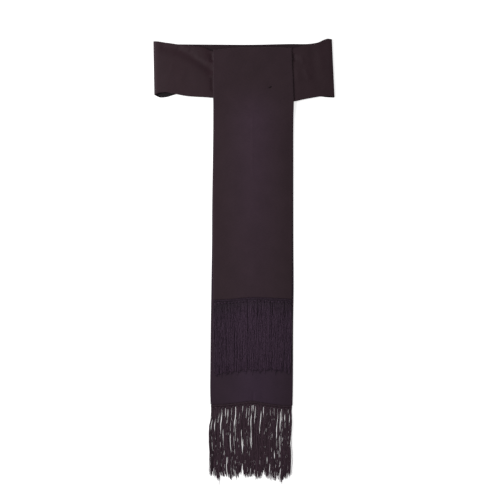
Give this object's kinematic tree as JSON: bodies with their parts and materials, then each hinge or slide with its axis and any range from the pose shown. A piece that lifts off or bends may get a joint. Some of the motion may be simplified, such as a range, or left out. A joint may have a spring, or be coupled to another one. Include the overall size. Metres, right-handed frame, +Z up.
{
  "type": "band cincture",
  "caption": "Waistband of dark cloth laid flat, with a short and a long fall hanging from it, each ending in a deep knotted fringe.",
  "frame": {"origin": "below the middle of the whole, on the surface that the cincture lies on", "axes": "+X along the waistband, to the right seen from above; +Y from the fringes up to the waistband; +Z up from the surface"},
  "size_m": [0.454, 1.108, 0.009],
  "materials": {
    "faille": "matte ribbed black cloth with a soft sheen and a brown-purple cast",
    "yarn": "matte black fringe yarn"
  },
  "bodies": {
    "root": {"waistband": "faille", "fall_short": "faille", "fall_long": "faille", "fringe_short": "yarn", "fringe_long": "yarn"}
  },
  "joints": []
}
